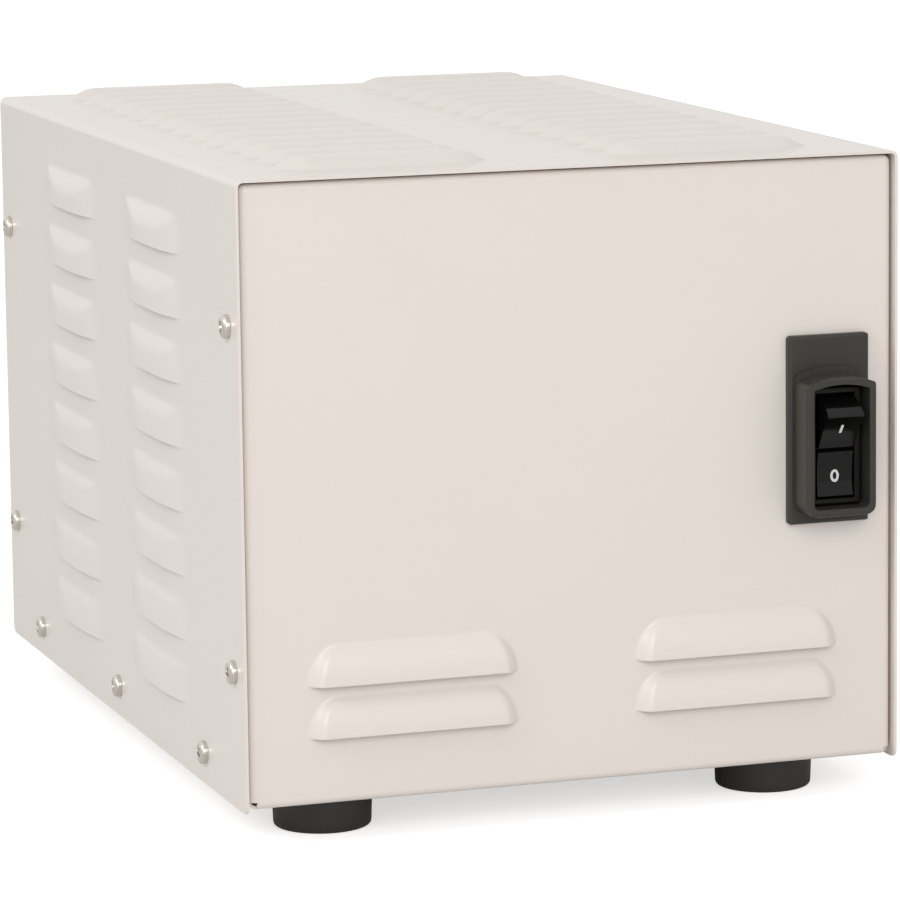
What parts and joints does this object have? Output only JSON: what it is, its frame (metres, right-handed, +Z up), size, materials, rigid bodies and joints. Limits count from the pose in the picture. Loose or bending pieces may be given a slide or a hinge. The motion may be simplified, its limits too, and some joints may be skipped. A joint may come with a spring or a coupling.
{
  "type": "isolation transformer",
  "caption": "Boxy louvred sheet-steel case on rubber feet holding a mains isolation transformer, with a guarded rocker switch in front and outlets behind.",
  "frame": {"origin": "floor point under the middle of the whole case, the switch guard and the cord gland included", "axes": "+Z up, -Y towards the front panel with the switch, +X to the right seen from the front"},
  "size_m": [0.2232, 0.3428, 0.2108],
  "materials": {
    "case_paint": "smooth satin enamel, warm off-white",
    "bright_steel": "bright nickel-plated screw heads",
    "zinc_steel": "zinc-plated steel",
    "foot_rubber": "black rubber, slightly dull",
    "guard_plastic": "charcoal moulded plastic, fine texture",
    "switch_plastic": "black plastic, satin",
    "rocker_plastic": "black plastic, polished",
    "terminal_brass": "tinned or bare brass",
    "core_steel": "varnished lamination steel",
    "bobbin_plastic": "glass-filled nylon",
    "winding_wire": "enamelled copper, standing for wound wire",
    "coil_tape": "insulating tape",
    "outlet_plastic": "moulded nylon, ivory",
    "gland_plastic": "black nylon",
    "board_laminate": "green glass-epoxy laminate",
    "varistor_coat": "blue epoxy coat",
    "capacitor_case": "yellow plastic case"
  },
  "bodies": {
    "case": {"cover": "case_paint", "chassis": "case_paint", "cover_screws": "bright_steel", "feet": "foot_rubber", "foot_screws": "zinc_steel", "foot_nuts": "zinc_steel", "switch_guard": "guard_plastic", "switch_body": "switch_plastic", "switch_terminals": "terminal_brass", "core_e_stack": "core_steel", "core_i_stack": "core_steel", "bobbin": "bobbin_plastic", "primary_winding": "winding_wire", "shield_foil": "winding_wire", "secondary_winding": "winding_wire", "coil_wrap": "coil_tape", "thermal_cutout": "zinc_steel", "bracket_front_low": "zinc_steel", "bracket_rear_low": "zinc_steel", "bracket_front_top": "zinc_steel", "bracket_rear_top": "zinc_steel", "core_bolts": "zinc_steel", "core_nuts": "zinc_steel", "base_bolts": "zinc_steel", "base_nuts": "zinc_steel", "outlet_left": "outlet_plastic", "outlet_middle": "outlet_plastic", "outlet_right": "outlet_plastic", "outlet_straps": "zinc_steel", "outlet_contacts": "terminal_brass", "outlet_screws": "bright_steel", "gland_body": "gland_plastic", "gland_seal": "foot_rubber", "gland_nut": "gland_plastic", "gland_locknut": "gland_plastic", "surge_board": "board_laminate", "board_standoffs": "bobbin_plastic", "board_screws": "zinc_steel", "varistors": "varistor_coat", "film_capacitor": "capacitor_case", "terminal_block": "switch_plastic", "terminal_screws": "zinc_steel", "ground_stud": "terminal_brass", "ground_nuts": "zinc_steel"},
    "rocker": {"switch_rocker": "rocker_plastic"}
  },
  "joints": [
    {"name": "rocker_press", "type": "hinge", "parent": "case", "child": "rocker", "pos_m": [0.084, -0.15893, 0.1156], "axis": [-1, 0, 0], "range_deg": [0, 38]}
  ]
}
